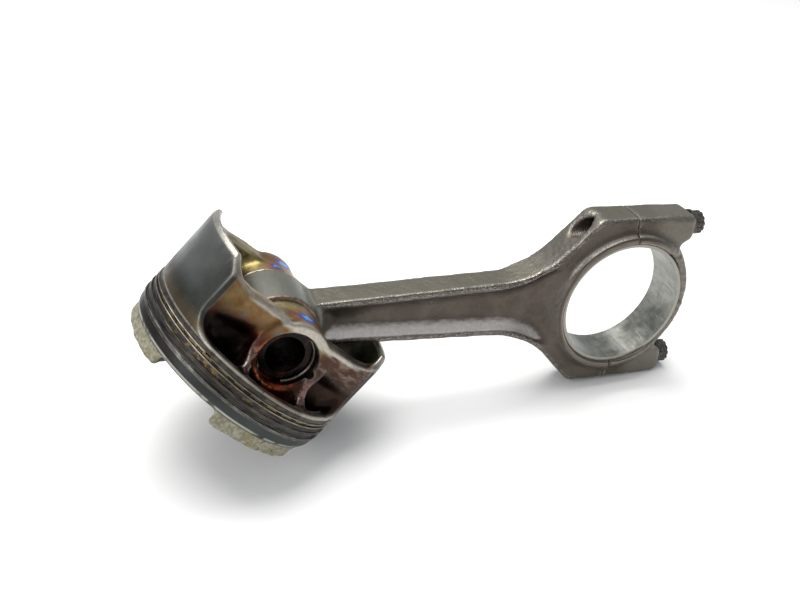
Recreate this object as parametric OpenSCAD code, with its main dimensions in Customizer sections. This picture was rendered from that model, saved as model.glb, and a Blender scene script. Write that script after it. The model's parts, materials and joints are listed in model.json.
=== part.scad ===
// Engine piston with its rings, floating wrist pin and fracture-split connecting rod.
// The origin is the centre of the crankpin bore, +Y runs along the crankpin and +Z is up.
// The assembly stands as an upturned V: the rod lies against the open edge of the skirt, and
// the weight rests on the edge of the crown and on the lower flank of the rod cap.

/* [Crown and skirt] */
// Diameter of the cylinder that the piston runs in
bore_d = 80; // [79.8:0.1:80.2]
// Diameter of the lands between the ring grooves
land_d = 79.2; // [79:0.1:79.4]
// Height from the wrist pin's axis to the rim of the crown
crown_h = 23; // [22.6:0.1:24]
// Height of the raised squish pads above the rim
pad_h = 6; // [4:0.1:6.2]
// Depth of the ring belt below the rim
belt_h = 14; // [13.8:0.1:14.4]
// Reach of the skirt below the wrist pin's axis
skirt_l = 18; // [16:0.5:18.5]
// Thickness of the skirt panels
skirt_t = 2.8; // [2.4:0.1:3.2]
// Half angle that each skirt panel spans
skirt_half_a = 32.5; // [30:0.5:34]
// Distance of the side walls' outer faces from the middle plane
wall_y = 21.5; // [21:0.1:22]
// Thickness of the side walls
wall_t = 3.2; // [2.6:0.1:3.6]

/* [Wrist pin] */
// Outer diameter of the wrist pin
pin_d = 20; // [19.8:0.1:20.2]
// Inner diameter of the wrist pin
pin_hole_d = 12; // [10:0.5:13]
// Length of the wrist pin
pin_l = 45; // [44:0.5:46]
// Outer radius of the pin bosses
boss_r = 14.5; // [14:0.1:15]
// Distance of the bosses' outer faces from the middle plane
boss_y = 27; // [26.5:0.1:28]
// Width of the space between the bosses
boss_gap = 21.4; // [21:0.1:22]

/* [Rings] */
// Height of each compression ring
ring_h = 1.2; // [1:0.1:1.2]
// Height of the three-piece oil ring's groove
oil_h = 2; // [1.9:0.1:2.1]
// Height of the top land
top_land = 3.8; // [3.6:0.1:4]
// Height of the second land
second_land = 1.8; // [1.6:0.1:1.9]
// Height of the third land
third_land = 1.8; // [1.6:0.1:1.9]
// Radial thickness of the compression rings
ring_t = 3.2; // [2.8:0.1:3.3]
// Amount that an unloaded ring stands out past the lands
ring_proud = 0.6; // [0.3:0.1:0.7]

/* [Connecting rod] */
// Distance between the centres of the small end and the big end
rod_l = 140; // [138:1:144]
// Angle between the rod and the piston's axis with the rod against the skirt
swing_a = 50; // [44:0.5:50]
// Outer radius of the small end
small_r = 15.5; // [15:0.1:15.8]
// Width of the small end
small_w = 20.6; // [20:0.1:20.8]
// Wall of the small end's bronze bush
bush_t = 1.5; // [1:0.1:1.8]
// Half width of the shank where it leaves the small end
shank_small = 8.65; // [8:0.05:9]
// Half width of the shank where the shoulders begin
shank_big = 11.5; // [11:0.1:12]
// Thickness of the shank over its flanges
flange_w = 12.4; // [11:0.1:13]
// Thickness of the web between the flanges
web_w = 4.5; // [4:0.1:6]
// Width of each flange
flange_t = 3.1; // [2.6:0.1:3.6]

/* [Big end] */
// Bore of the fitted bearing shells
journal_d = 50; // [49.8:0.1:50.2]
// Wall of the bearing shells
shell_t = 1.3; // [1.2:0.1:1.4]
// Width of the bearing shells
shell_w = 17.8; // [17:0.1:18.4]
// Width of the big end over its thrust faces
big_w = 20.4; // [20:0.1:21]
// Outer radius of the thrust faces
thrust_r = 29.6; // [29.2:0.1:30]
// Greatest radius of the cap's crowned back
cap_r = 32.6; // [32:0.1:33.6]
// Thickness of the bolt bosses
boss_w = 14.4; // [14:0.1:15]
// Distance of the flanks from the rod's axis
flank_z = 36.3; // [36.2:0.1:37]
// Reach of the cap's bolt bosses past the split
cap_reach = 27; // [26.5:0.1:29]
// Thread diameter of the rod bolts
bolt_d = 7; // [6.8:0.1:7]
// Distance of the rod bolts from the rod's axis
bolt_z = 30.3; // [30.2:0.1:30.5]
// Diameter of the rod bolts' heads
head_d = 10.6; // [10:0.1:10.6]
// Height of the rod bolts' heads
head_h = 5.6; // [5:0.1:7]

/* [Hidden] */
$fn = 96;
cut = 0.5;                          // how far a cutter runs past the face that it opens

// Piston heights, measured from the pin's axis towards the crown
bore_r = bore_d / 2;
land_r = land_d / 2;
belt_z = crown_h - belt_h;
deck_z = 16.8;                      // underside of the crown
groove_play = 0.06;                 // total axial play of a ring in its groove
top_groove_z = crown_h - top_land - ring_h;
second_groove_z = top_groove_z - second_land - ring_h;
oil_groove_z = second_groove_z - third_land - oil_h;
groove_r = bore_r - 4.1;
ring_out_r = land_r + ring_proud;
rail_h = 0.45;                      // height of each steel rail of the oil ring
rail_in_r = ring_out_r - 2.6;
pad_base_r = land_r - 0.8;
pad_slope = 0.7;                    // how far the pads' sides lean in
pad_top_r = pad_base_r - pad_slope;
edge_h = 4.8;                       // rise of the skirt's lower corners
wall_edge_z = -11.8;                // lower edge of the side walls
window_r = 8.5;                     // radius that blends a skirt panel into the belt
belt_in_r = 33;                     // inside of the belt behind the skirts
undercut_r = 35;                    // inside of the belt over the windows
undercut_z = 15.2;                  // roof of the undercuts over the windows
tower_x = 13.5;                     // half width of the pads between the bosses and the crown
rib_t = 3;                          // thickness of the ribs between the bosses and the belt
lip_top_z = 1.5;                    // where the walls have swung in to their full depth
pin_play = 0.02;                    // radial play of the pin
clip_wire = 1.2;                    // wire diameter of the circlips
clip_y = pin_l / 2 + 0.15 + clip_wire / 2;

// Valve pockets: direction from the left skirt panel, end radius, its distance and half width
intake_a = 51;
intake_r = 17.5;
intake_off = 24.5;
intake_half_w = 12.6;
exhaust_a = 144;
exhaust_r = 14.5;
exhaust_off = 27;
exhaust_half_w = 10.5;

// Big end
bearing_r = journal_d / 2;
housing_r = bearing_r + shell_t;
bolt_hole_r = bolt_d / 2 + 0.05;
shoulder_a = 47;                    // slope of the shoulders
shoulder_r = 37;                    // radius that leads the shank into the shoulder
corner_r = 6;                       // radius between a shoulder and its flank
shank_end = 54;                     // where the shoulders begin, before the big end's centre
shank_start = 126;                  // where the shank leaves the small end
shank_a = atan((shank_big - shank_small) / (shank_start - shank_end));
shoulder_c = [-shank_end - shoulder_r * sin(shank_a), shank_big + shoulder_r * cos(shank_a)];
slope_x = shoulder_c[0] + shoulder_r * sin(shoulder_a);
slope_z = shoulder_c[1] - shoulder_r * cos(shoulder_a);
corner_x = slope_x + (flank_z - slope_z) / tan(shoulder_a) + corner_r * tan(shoulder_a / 2);
bolt_end = 15;                      // reach of the bolts' threads past the split

// The assembly's tilt: a line from the crown's edge to the cap's flank lies level
crown_touch = [-rod_l - (crown_h + pad_h) * cos(swing_a) + pad_top_r * sin(swing_a),
               -(crown_h + pad_h) * sin(swing_a) - pad_top_r * cos(swing_a)];
cap_touch = [cap_reach - 3, -flank_z];
tilt_a = atan((cap_touch[1] - crown_touch[1]) / (cap_touch[0] - crown_touch[0]));

// Places children drawn with the big end's centre at the origin and the rod along -X
module on_rod() {
    rotate([0, tilt_a, 0]) children();
}

// Places children drawn with the pin's axis at the origin and the crown up
module on_piston() {
    on_rod() translate([-rod_l, 0, 0]) rotate([0, -90 - swing_a, 0]) children();
}

// A cylinder along Y, centred on the middle plane
module y_cylinder(r, w) {
    rotate([90, 0, 0]) cylinder(r = r, h = w, center = true);
}

// Children drawn in X and Z, given a width along Y
module y_extrude(w) {
    rotate([90, 0, 0]) linear_extrude(w, center = true) children();
}

// Children repeated on both sides of the middle plane
module both_sides() {
    children();
    mirror([0, 1, 0]) children();
}

// Points on an arc
function arc(c, r, a0, a1, n) =
    [for (i = [0:n]) c + r * [cos(a0 + (a1 - a0) * i / n), sin(a0 + (a1 - a0) * i / n)]];

// ---- Piston ----

// Outline of the skirt panels seen along X, blended into the ring belt
module skirt_outline() {
    low_y = wall_y - 4.5;
    polygon(concat([[-low_y, -skirt_l], [low_y, -skirt_l], [wall_y, -skirt_l + edge_h]],
                   arc([wall_y + window_r, belt_z - window_r], window_r, 180, 90, 12),
                   [[wall_y + window_r, belt_z + 1], [-wall_y - window_r, belt_z + 1]],
                   arc([-wall_y - window_r, belt_z - window_r], window_r, 90, 0, 12),
                   [[-wall_y, -skirt_l + edge_h]]));
}

module skirt_panels() {
    intersection() {
        translate([0, 0, -skirt_l]) difference() {
            cylinder(r = bore_r - 0.04, h = skirt_l + belt_z + 1, $fn = 180);
            translate([0, 0, -cut]) cylinder(r = bore_r - skirt_t, h = 2 * bore_r, $fn = 180);
        }
        rotate([90, 0, 90]) linear_extrude(2 * bore_r + 2, center = true) skirt_outline();
    }
}

// Outline of a side wall seen along Y
module wall_outline() {
    end_x = bore_r * cos(skirt_half_a) - 1;
    polygon([[-end_x, -skirt_l + edge_h], [-end_x + 8, wall_edge_z], [end_x - 8, wall_edge_z],
             [end_x, -skirt_l + edge_h], [end_x, deck_z + 1], [-end_x, deck_z + 1]]);
}

// Plan of the piston between its side walls, bulging from skirt_y at the skirts to mid_y at the bosses
module wall_plan(skirt_y, mid_y) {
    out_x = bore_r - 6;
    near_y = skirt_y + 0.56 * (mid_y - skirt_y);
    far_y = skirt_y + 0.92 * (mid_y - skirt_y);
    half = [[out_x, skirt_y], [25, near_y], [11, far_y], [0, mid_y],
            [-11, far_y], [-25, near_y], [-out_x, skirt_y]];
    polygon(concat(half, [for (i = [len(half) - 1:-1:0]) [half[i][0], -half[i][1]]]));
}

// The walls' lips swing outwards towards the open end until they meet the bosses' faces
module lip_body(skirt_y, mid_y, low_z) {
    bulge_z = -5.5;
    hull() {
        translate([0, 0, low_z]) linear_extrude(bulge_z - low_z) wall_plan(skirt_y, mid_y);
        translate([0, 0, lip_top_z]) linear_extrude(0.5) wall_plan(skirt_y, skirt_y + 0.1);
    }
}

module wall_lips() {
    inside_y = wall_y - wall_t;
    intersection() {
        difference() {
            lip_body(wall_y, boss_y - 0.2, -skirt_l);
            lip_body(inside_y, boss_y - 0.2 - wall_t, -skirt_l - cut);
        }
        y_extrude(2 * boss_y + 2) wall_outline();
    }
}

// Ribs that brace a boss against the belt
module boss_ribs() {
    root_y = wall_y - 1;
    for (side = [-1, 1]) {
        translate([side * (tower_x - rib_t / 2) - rib_t / 2, 0, 0]) rotate([90, 0, 90])
            linear_extrude(rib_t) polygon([[root_y, 0], [boss_y - 1.5, 2], [undercut_r - 1, belt_z + 1.5],
                                           [undercut_r - 1, undercut_z + 1], [root_y, undercut_z + 1]]);
    }
}

module walls_and_bosses() {
    inside_y = wall_y - wall_t;
    both_sides() {
        translate([0, wall_y - wall_t / 2, 0]) y_extrude(wall_t) wall_outline();
        translate([0, (boss_gap / 2 + boss_y) / 2, 0]) y_cylinder(boss_r, boss_y - boss_gap / 2);
        translate([-tower_x, inside_y, 0]) cube([2 * tower_x, wall_t + 2.5, deck_z]);
        boss_ribs();
    }
    wall_lips();
}

// Limits the walls so that they end inside the skirt panels and behind the ring grooves
module wall_reach() {
    translate([0, 0, -skirt_l]) {
        cylinder(r = bore_r - skirt_t / 2, h = skirt_l + belt_z + 1);
        cylinder(r = groove_r - 0.6, h = skirt_l + deck_z + 1);
    }
}

// The ring belt with its lands, grooves and chamfered rim
module belt_profile() {
    polygon([[0, belt_z], [land_r - 0.8, belt_z], [land_r, belt_z + 0.8],
             [land_r, oil_groove_z], [groove_r, oil_groove_z],
             [groove_r, oil_groove_z + oil_h], [land_r, oil_groove_z + oil_h],
             [land_r, second_groove_z], [groove_r, second_groove_z],
             [groove_r, second_groove_z + ring_h + groove_play],
             [land_r, second_groove_z + ring_h + groove_play],
             [land_r, top_groove_z], [groove_r, top_groove_z],
             [groove_r, top_groove_z + ring_h + groove_play],
             [land_r, top_groove_z + ring_h + groove_play],
             [land_r, crown_h - 0.5], [land_r - 0.5, crown_h],
             [pad_base_r, crown_h], [pad_top_r, crown_h + pad_h], [0, crown_h + pad_h]]);
}

// A valve pocket with a round inner end, open towards the cylinder wall
module valve_pocket(a, r, off, half_w, floor_z) {
    rotate([0, 0, a]) translate([off, 0, floor_z]) intersection() {
        union() {
            cylinder(r = r, h = 3 * pad_h);
            translate([0, -r, 0]) cube([bore_r, 2 * r, 3 * pad_h]);
        }
        translate([-r, -half_w, 0]) cube([bore_r + r, 2 * half_w, 3 * pad_h]);
    }
}

module crown_pockets() {
    bowl_r = 46;
    bowl_depth = 4.5;
    for (side = [-1, 1]) {
        valve_pocket(side * intake_a, intake_r, intake_off, intake_half_w, crown_h + 0.9);
        valve_pocket(side * exhaust_a, exhaust_r, exhaust_off, exhaust_half_w, crown_h + 1.4);
    }
    translate([0, 0, crown_h + pad_h + bowl_r - bowl_depth]) sphere(r = bowl_r);
}

// Space inside the skirt and under the crown
module inner_space() {
    inside_y = wall_y - wall_t;
    intersection() {
        translate([0, 0, -skirt_l - cut]) cylinder(r = belt_in_r, h = deck_z + skirt_l + cut);
        translate([-bore_r, -inside_y, -skirt_l - cut])
            cube([2 * bore_r, 2 * inside_y, deck_z + skirt_l + cut]);
    }
}

// Hollows under the belt, outside the side walls
module belt_undercuts() {
    both_sides() {
        intersection() {
            translate([0, 0, belt_z - cut]) cylinder(r = undercut_r, h = undercut_z - belt_z + cut);
            translate([-bore_r, wall_y, belt_z - cut]) cube([2 * bore_r, bore_r, undercut_z]);
        }
    }
}

// The pin bore with its circlip grooves, chamfers and the notches for taking the clips out
module pin_bore() {
    bore_pin_r = pin_d / 2 + pin_play;
    chamfer = 0.8;
    notch_r = 1.6;
    y_cylinder(bore_pin_r, 2 * boss_y + 2);
    both_sides() {
        translate([0, clip_y, 0]) y_cylinder(bore_pin_r + clip_wire / 2, clip_wire + 0.1);
        translate([0, boss_y + 0.01, 0]) rotate([90, 0, 0])
            cylinder(r1 = bore_pin_r + chamfer, r2 = bore_pin_r, h = chamfer);
        translate([-bore_pin_r, (clip_y + boss_y + 1) / 2, 0]) y_cylinder(notch_r, boss_y + 1 - clip_y);
    }
}

// Oil drains from the oil groove to the inside of the skirt
module oil_drains() {
    drain_r = 0.8;
    for (a = [-24, -8, 8, 24, 156, 172, 188, 204]) {
        rotate([0, 0, a]) translate([belt_in_r - 3, 0, oil_groove_z + oil_h / 2])
            rotate([0, 90, 0]) cylinder(r = drain_r, h = 6, $fn = 24);
    }
}

module piston() {
    color("#8a857a") on_piston() difference() {
        union() {
            difference() {
                union() {
                    rotate_extrude($fn = 180) belt_profile();
                    skirt_panels();
                }
                inner_space();
                belt_undercuts();
            }
            intersection() {
                walls_and_bosses();
                wall_reach();
            }
        }
        pin_bore();
        crown_pockets();
        oil_drains();
    }
}

// ---- Rings ----

// A split ring about the piston's axis; its gap is centred on the direction gap_a
module split_ring(r_in, r_out, z, h, gap_a, gap) {
    gap_half = gap / 2 / r_out * 180 / PI;
    bevel = min(0.12, h / 4);
    rotate([0, 0, gap_a + gap_half]) rotate_extrude(angle = 360 - 2 * gap_half, $fn = 180)
        polygon([[r_in, z], [r_out - bevel, z], [r_out, z + bevel], [r_out, z + h - bevel],
                 [r_out - bevel, z + h], [r_in, z + h]]);
}

module top_compression_ring() {
    color("#6f6d69") on_piston()
        split_ring(ring_out_r - ring_t, ring_out_r, top_groove_z + groove_play / 2, ring_h, 150, 3);
}

module second_compression_ring() {
    color("#4a4845") on_piston()
        split_ring(ring_out_r - ring_t, ring_out_r, second_groove_z + groove_play / 2, ring_h, 20, 3);
}

module oil_ring_upper_rail() {
    color("#55504a") on_piston()
        split_ring(rail_in_r, ring_out_r - 0.1, oil_groove_z + oil_h - rail_h - 0.03, rail_h, 80, 2.5);
}

module oil_ring_lower_rail() {
    color("#55504a") on_piston()
        split_ring(rail_in_r, ring_out_r - 0.1, oil_groove_z + 0.03, rail_h, -50, 2.5);
}

// The expander holds the rails apart; slots between its lands let the oil through
module oil_ring_expander() {
    slots = 36;
    low_z = oil_groove_z + rail_h + 0.06;
    expander_h = oil_h - 2 * rail_h - 0.12;
    color("#7a6a4c") on_piston() difference() {
        split_ring(rail_in_r + 0.3, ring_out_r - 0.9, low_z, expander_h, 200, 1);
        for (i = [0:slots - 1]) {
            rotate([0, 0, 360 * (i + 0.5) / slots]) translate([rail_in_r + 0.9, -1.4, low_z + 0.3])
                cube([4, 2.8, expander_h - 0.6]);
        }
    }
}

// ---- Wrist pin ----

module wrist_pin() {
    chamfer = 0.6;
    half = pin_l / 2;
    color("#5c5a58") on_piston() rotate([90, 0, 0]) rotate_extrude()
        polygon([[pin_hole_d / 2, -half + 2], [pin_hole_d / 2 + 1, -half],
                 [pin_d / 2 - chamfer, -half], [pin_d / 2, -half + chamfer],
                 [pin_d / 2, half - chamfer], [pin_d / 2 - chamfer, half],
                 [pin_hole_d / 2 + 1, half], [pin_hole_d / 2, half - 2]]);
}

// A round-wire circlip with its gap towards the crown
module circlip(y) {
    gap_half = 32;
    on_piston() translate([0, y, 0]) rotate([90, 0, 0]) rotate([0, 0, 90 + gap_half])
        rotate_extrude(angle = 360 - 2 * gap_half)
            translate([pin_d / 2 - 0.05, 0]) circle(d = clip_wire - 0.05, $fn = 24);
}

module front_circlip() {
    color("#4d4a46") circlip(-clip_y);
}

module rear_circlip() {
    color("#4d4a46") circlip(clip_y);
}

// ---- Connecting rod ----

// Upper edge of the rod from the small end to the end of its flank; inset moves it inwards
function rod_edge(inset, flank_end) = concat(
    [[-rod_l + 9, shank_small - inset]],
    arc(shoulder_c, shoulder_r + inset, -90 + shank_a, -90 + shoulder_a, 16),
    arc([corner_x, flank_z - corner_r], corner_r - inset, 90 + shoulder_a, 90, 8),
    [[flank_end, flank_z - inset]]);

function mirrored(points) = [for (i = [len(points) - 1:-1:0]) [points[i][0], -points[i][1]]];

module rod_outline(inset, flank_end) {
    edge = rod_edge(inset, flank_end);
    polygon(concat(edge, mirrored(edge)));
}

// Recess between the flanges, closed by round ends
module recess_outline() {
    start_x = -rod_l + small_r + 1.5;
    end_x = -thrust_r - 0.5;
    intersection() {
        rod_outline(flange_t, 0);
        difference() {
            translate([start_x, -16]) square([end_x - start_x, 32]);
            circle(r = thrust_r + 0.5);
        }
        union() {
            translate([-50, 0]) circle(r = 19);
            translate([-rod_l, -16]) square([rod_l - 50, 32]);
        }
    }
}

// A bolt boss block with rounded long edges, on one side of the rod's axis
module flank_block(x0, x1) {
    round_r = 1.9;
    low_z = 12;
    for (side = [-1, 1]) {
        translate([x0, 0, 0]) rotate([90, 0, 90]) linear_extrude(x1 - x0) {
            translate([-boss_w / 2, side > 0 ? low_z : -flank_z + round_r])
                square([boss_w, flank_z - round_r - low_z]);
            translate([-boss_w / 2 + round_r, side > 0 ? low_z : -flank_z])
                square([boss_w - 2 * round_r, flank_z - low_z]);
            for (s = [-1, 1]) {
                translate([s * (boss_w / 2 - round_r), side * (flank_z - round_r)])
                    circle(r = round_r, $fn = 48);
            }
        }
    }
}

module bolt_holes() {
    for (side = [-1, 1]) {
        translate([-40, 0, side * bolt_z]) rotate([0, 90, 0])
            cylinder(r = bolt_hole_r, h = 40 + cap_reach + 1);
    }
}

module housing_bore() {
    y_cylinder(housing_r, big_w + 2);
}

module connecting_rod() {
    color("#6b665e") on_rod() difference() {
        union() {
            translate([-rod_l, 0, 0]) y_cylinder(small_r, small_w);
            difference() {
                y_extrude(flange_w) rod_outline(0, 0);
                both_sides() translate([0, web_w / 2 + 5, 0]) y_extrude(10) recess_outline();
            }
            intersection() {
                flank_block(-50, 0);
                y_extrude(boss_w) rod_outline(0, 0);
            }
            intersection() {
                y_cylinder(thrust_r, big_w);
                translate([-rod_l, -big_w, -rod_l]) cube([rod_l, 2 * big_w, 2 * rod_l]);
            }
        }
        translate([-rod_l, 0, 0]) y_cylinder(pin_d / 2 + bush_t, small_w + 2);
        housing_bore();
        bolt_holes();
        translate([-rod_l - small_r - 1, 0, 0]) rotate([0, 90, 0]) cylinder(r = 1.6, h = 6, $fn = 32);
    }
}

module small_end_bush() {
    color("#9a7a4a") on_rod() translate([-rod_l, 0, 0]) difference() {
        y_cylinder(pin_d / 2 + bush_t, small_w - 0.4);
        y_cylinder(pin_d / 2 + pin_play, small_w + 2);
        translate([-small_r - 1, 0, 0]) rotate([0, 90, 0]) cylinder(r = 1.6, h = 6, $fn = 32);
    }
}

// ---- Cap ----

// The cap's back, thickest on the middle plane
module cap_back() {
    half = big_w / 2;
    rotate([90, 0, 0]) rotate_extrude($fn = 180)
        polygon([[0, -half], [thrust_r - 0.8, -half], [thrust_r, -half + 0.8], [thrust_r + 0.8, -7],
                 [thrust_r + 2.4, -4], [cap_r, -1.2], [cap_r, 1.2], [thrust_r + 2.4, 4],
                 [thrust_r + 0.8, 7], [thrust_r, half - 0.8], [thrust_r - 0.8, half], [0, half]]);
}

// Bolt bosses of the cap, seen along Y
module cap_boss_outline() {
    nose_r = 3;
    seat_z = bolt_z - head_d / 2 - 0.6;
    polygon(concat([[0, 24], [cap_reach - 5.5, seat_z - 1.5], [cap_reach, seat_z + 1.5]],
                   arc([cap_reach - nose_r, flank_z - nose_r], nose_r, 0, 90, 8),
                   [[0, flank_z]]));
}

module rod_cap() {
    color("#77726a") on_rod() difference() {
        union() {
            intersection() {
                cap_back();
                translate([0, -big_w, -rod_l]) cube([rod_l, 2 * big_w, 2 * rod_l]);
            }
            intersection() {
                flank_block(0, cap_reach);
                y_extrude(boss_w) {
                    cap_boss_outline();
                    mirror([0, 1]) cap_boss_outline();
                }
            }
        }
        housing_bore();
        bolt_holes();
    }
}

// ---- Bearing shells ----

module bearing_shell(side) {
    color("#a9a8a2") on_rod() intersection() {
        difference() {
            y_cylinder(housing_r, shell_w);
            y_cylinder(bearing_r, shell_w + 2);
        }
        translate([side > 0 ? 0 : -rod_l, -big_w, -rod_l]) cube([rod_l, 2 * big_w, 2 * rod_l]);
    }
}

module rod_bearing_shell() {
    bearing_shell(-1);
}

module cap_bearing_shell() {
    bearing_shell(1);
}

// ---- Rod bolts ----

// A bolt along +X with its head's seat at cap_reach and a lobed drive above its flange
module rod_bolt(side) {
    lobes = 12;
    lobe_r = 0.7;
    thread_r = bolt_d / 2;
    waist_r = thread_r - 0.4;
    head_r = head_d / 2;
    drive_r = head_r - 0.6;
    color("#4f4b46") on_rod() translate([0, 0, side * bolt_z]) rotate([0, 90, 0]) {
        translate([0, 0, -bolt_end]) cylinder(r1 = thread_r - 0.6, r2 = thread_r, h = 0.6);
        translate([0, 0, -bolt_end + 0.6]) cylinder(r = thread_r, h = bolt_end - 1.6);
        translate([0, 0, -1]) cylinder(r = waist_r, h = cap_reach + 1);
        translate([0, 0, cap_reach]) cylinder(r = head_r, h = 1.4);
        difference() {
            translate([0, 0, cap_reach + 1.4]) cylinder(r = drive_r, h = head_h - 1.4);
            for (i = [0:lobes - 1]) {
                rotate([0, 0, 360 * i / lobes]) translate([drive_r + 0.3, 0, cap_reach + 1.6])
                    cylinder(r = lobe_r, h = head_h, $fn = 32);
            }
        }
    }
}

module upper_rod_bolt() {
    rod_bolt(1);
}

module lower_rod_bolt() {
    rod_bolt(-1);
}

piston();
top_compression_ring();
second_compression_ring();
oil_ring_upper_rail();
oil_ring_expander();
oil_ring_lower_rail();
wrist_pin();
front_circlip();
rear_circlip();
connecting_rod();
small_end_bush();
rod_cap();
rod_bearing_shell();
cap_bearing_shell();
upper_rod_bolt();
lower_rod_bolt();
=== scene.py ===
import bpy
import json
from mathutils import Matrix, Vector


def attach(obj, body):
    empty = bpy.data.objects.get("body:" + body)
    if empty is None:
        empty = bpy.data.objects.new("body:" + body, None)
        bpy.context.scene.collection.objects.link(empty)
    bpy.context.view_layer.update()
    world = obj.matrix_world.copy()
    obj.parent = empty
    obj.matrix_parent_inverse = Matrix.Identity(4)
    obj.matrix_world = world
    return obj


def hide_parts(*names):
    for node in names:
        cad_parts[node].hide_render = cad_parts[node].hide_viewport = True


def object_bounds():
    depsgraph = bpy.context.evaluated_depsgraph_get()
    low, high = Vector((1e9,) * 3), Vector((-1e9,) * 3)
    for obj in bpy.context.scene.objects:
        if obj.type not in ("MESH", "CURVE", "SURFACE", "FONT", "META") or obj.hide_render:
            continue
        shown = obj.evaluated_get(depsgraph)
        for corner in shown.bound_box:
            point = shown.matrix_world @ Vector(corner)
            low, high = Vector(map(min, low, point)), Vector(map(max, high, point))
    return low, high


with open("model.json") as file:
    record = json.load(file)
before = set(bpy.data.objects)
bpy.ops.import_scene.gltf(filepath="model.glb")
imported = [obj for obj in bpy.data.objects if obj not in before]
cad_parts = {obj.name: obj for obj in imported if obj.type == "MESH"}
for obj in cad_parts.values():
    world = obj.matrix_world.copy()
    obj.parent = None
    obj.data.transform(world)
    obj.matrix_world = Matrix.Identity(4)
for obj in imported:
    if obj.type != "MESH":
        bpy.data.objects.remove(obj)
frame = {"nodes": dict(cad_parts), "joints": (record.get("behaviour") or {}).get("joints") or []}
cad_box = [list(corner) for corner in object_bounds()]

import json
import math

import bpy
import numpy as np
import openvdb
from mathutils import Matrix, Vector

MM = 0.001
VOXEL = 0.45          # mm, cell of the distance fields that shape the castings
RNG_SEED = 11
JOINTS = {joint["name"]: joint for joint in frame["joints"]}
PIN = Vector(JOINTS["piston_swing"]["pos_m"])
CROWN = Vector(JOINTS["top_ring_turn"]["axis"]).normalized()
ACROSS = Vector((0, 1, 0))


# ---- Local frames: millimetres along the piston's or the rod's own axes ----

class Axes:
    """A local frame in millimetres: X, Y and Z directions and an origin in the world."""

    def __init__(self, x, z, origin):
        self.x, self.y, self.z, self.origin = x, ACROSS, z, origin
        self.turn = np.array([x, ACROSS, z], dtype=np.float64)

    def local(self, points):
        return (points - np.array(self.origin)) @ self.turn.T / MM

    def world(self, points):
        return points * MM @ self.turn + np.array(self.origin)


PISTON = Axes(ACROSS.cross(CROWN), CROWN, PIN)
ROD_X = -PIN.normalized()
ROD = Axes(ROD_X, ROD_X.cross(ACROSS), Vector((0, 0, 0)))
ROD_LENGTH = PIN.length / MM


# ---- Meshes ----

def mesh_arrays(mesh):
    """A mesh's points and triangles."""
    mesh.calc_loop_triangles()
    points = np.empty(len(mesh.vertices) * 3, np.float64)
    mesh.vertices.foreach_get("co", points)
    triangles = np.empty(len(mesh.loop_triangles) * 3, np.int32)
    mesh.loop_triangles.foreach_get("vertices", triangles)
    return points.reshape(-1, 3), triangles.reshape(-1, 3)


def new_object(name, points, faces):
    mesh = bpy.data.meshes.new(name)
    mesh.from_pydata([tuple(p) for p in points], [], [tuple(f) for f in faces])
    mesh.validate()
    obj = bpy.data.objects.new(name, mesh)
    bpy.context.scene.collection.objects.link(obj)
    return obj


def apply_modifiers(obj):
    """Turns an object's modifiers into its mesh."""
    graph = bpy.context.evaluated_depsgraph_get()
    mesh = bpy.data.meshes.new_from_object(obj.evaluated_get(graph))
    obj.modifiers.clear()
    old, obj.data = obj.data, mesh
    bpy.data.meshes.remove(old)


def lathe(name, profile, steps=240, about="z", offset=(0, 0, 0)):
    """A solid of revolution from a closed loop of (radius, height) points that stays off the axis, or from an
    open one whose ends lie on it."""
    points, faces = [], []
    capped = profile[0][0] == 0 and profile[-1][0] == 0
    rings = profile[1:-1] if capped else profile
    n = len(rings)
    for i in range(steps):
        a = 2 * math.pi * i / steps
        for r, h in rings:
            p = (r * math.cos(a), r * math.sin(a), h)
            points.append(p if about == "z" else (p[0], p[2], -p[1]))
    for i in range(steps):
        a, b = i * n, (i + 1) % steps * n
        for j in range(n - 1 if capped else n):
            k = (j + 1) % n
            faces.append((a + j, b + j, b + k, a + k))
    if capped:
        for end, j in ((profile[0][1], 0), (profile[-1][1], n - 1)):
            points.append((0, 0, end) if about == "z" else (0, end, 0))
            tip = len(points) - 1
            for i in range(steps):
                a, b = i * n + j, (i + 1) % steps * n + j
                faces.append((b, a, tip) if j == 0 else (a, b, tip))
    points = np.array(points) + np.array(offset)
    obj = new_object(name, points, faces)
    orient(obj)
    return obj


def orient(obj):
    """Points a closed mesh's faces outwards."""
    points, triangles = mesh_arrays(obj.data)
    a, b, c = (points[triangles[:, i]] for i in range(3))
    if np.einsum("ij,ij->i", a, np.cross(b, c)).sum() < 0:
        obj.data.flip_normals()


def carve(obj, cutter):
    """Takes the cutter's solid out of the object, and removes the cutter."""
    mod = obj.modifiers.new("carve", "BOOLEAN")
    mod.operation, mod.solver, mod.object = "DIFFERENCE", "MANIFOLD", cutter
    apply_modifiers(obj)
    bpy.data.objects.remove(cutter)


# ---- Distance fields ----

def smoothstep(x, low, high):
    t = np.clip((x - low) / (high - low), 0, 1)
    return t * t * (3 - 2 * t)


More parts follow.
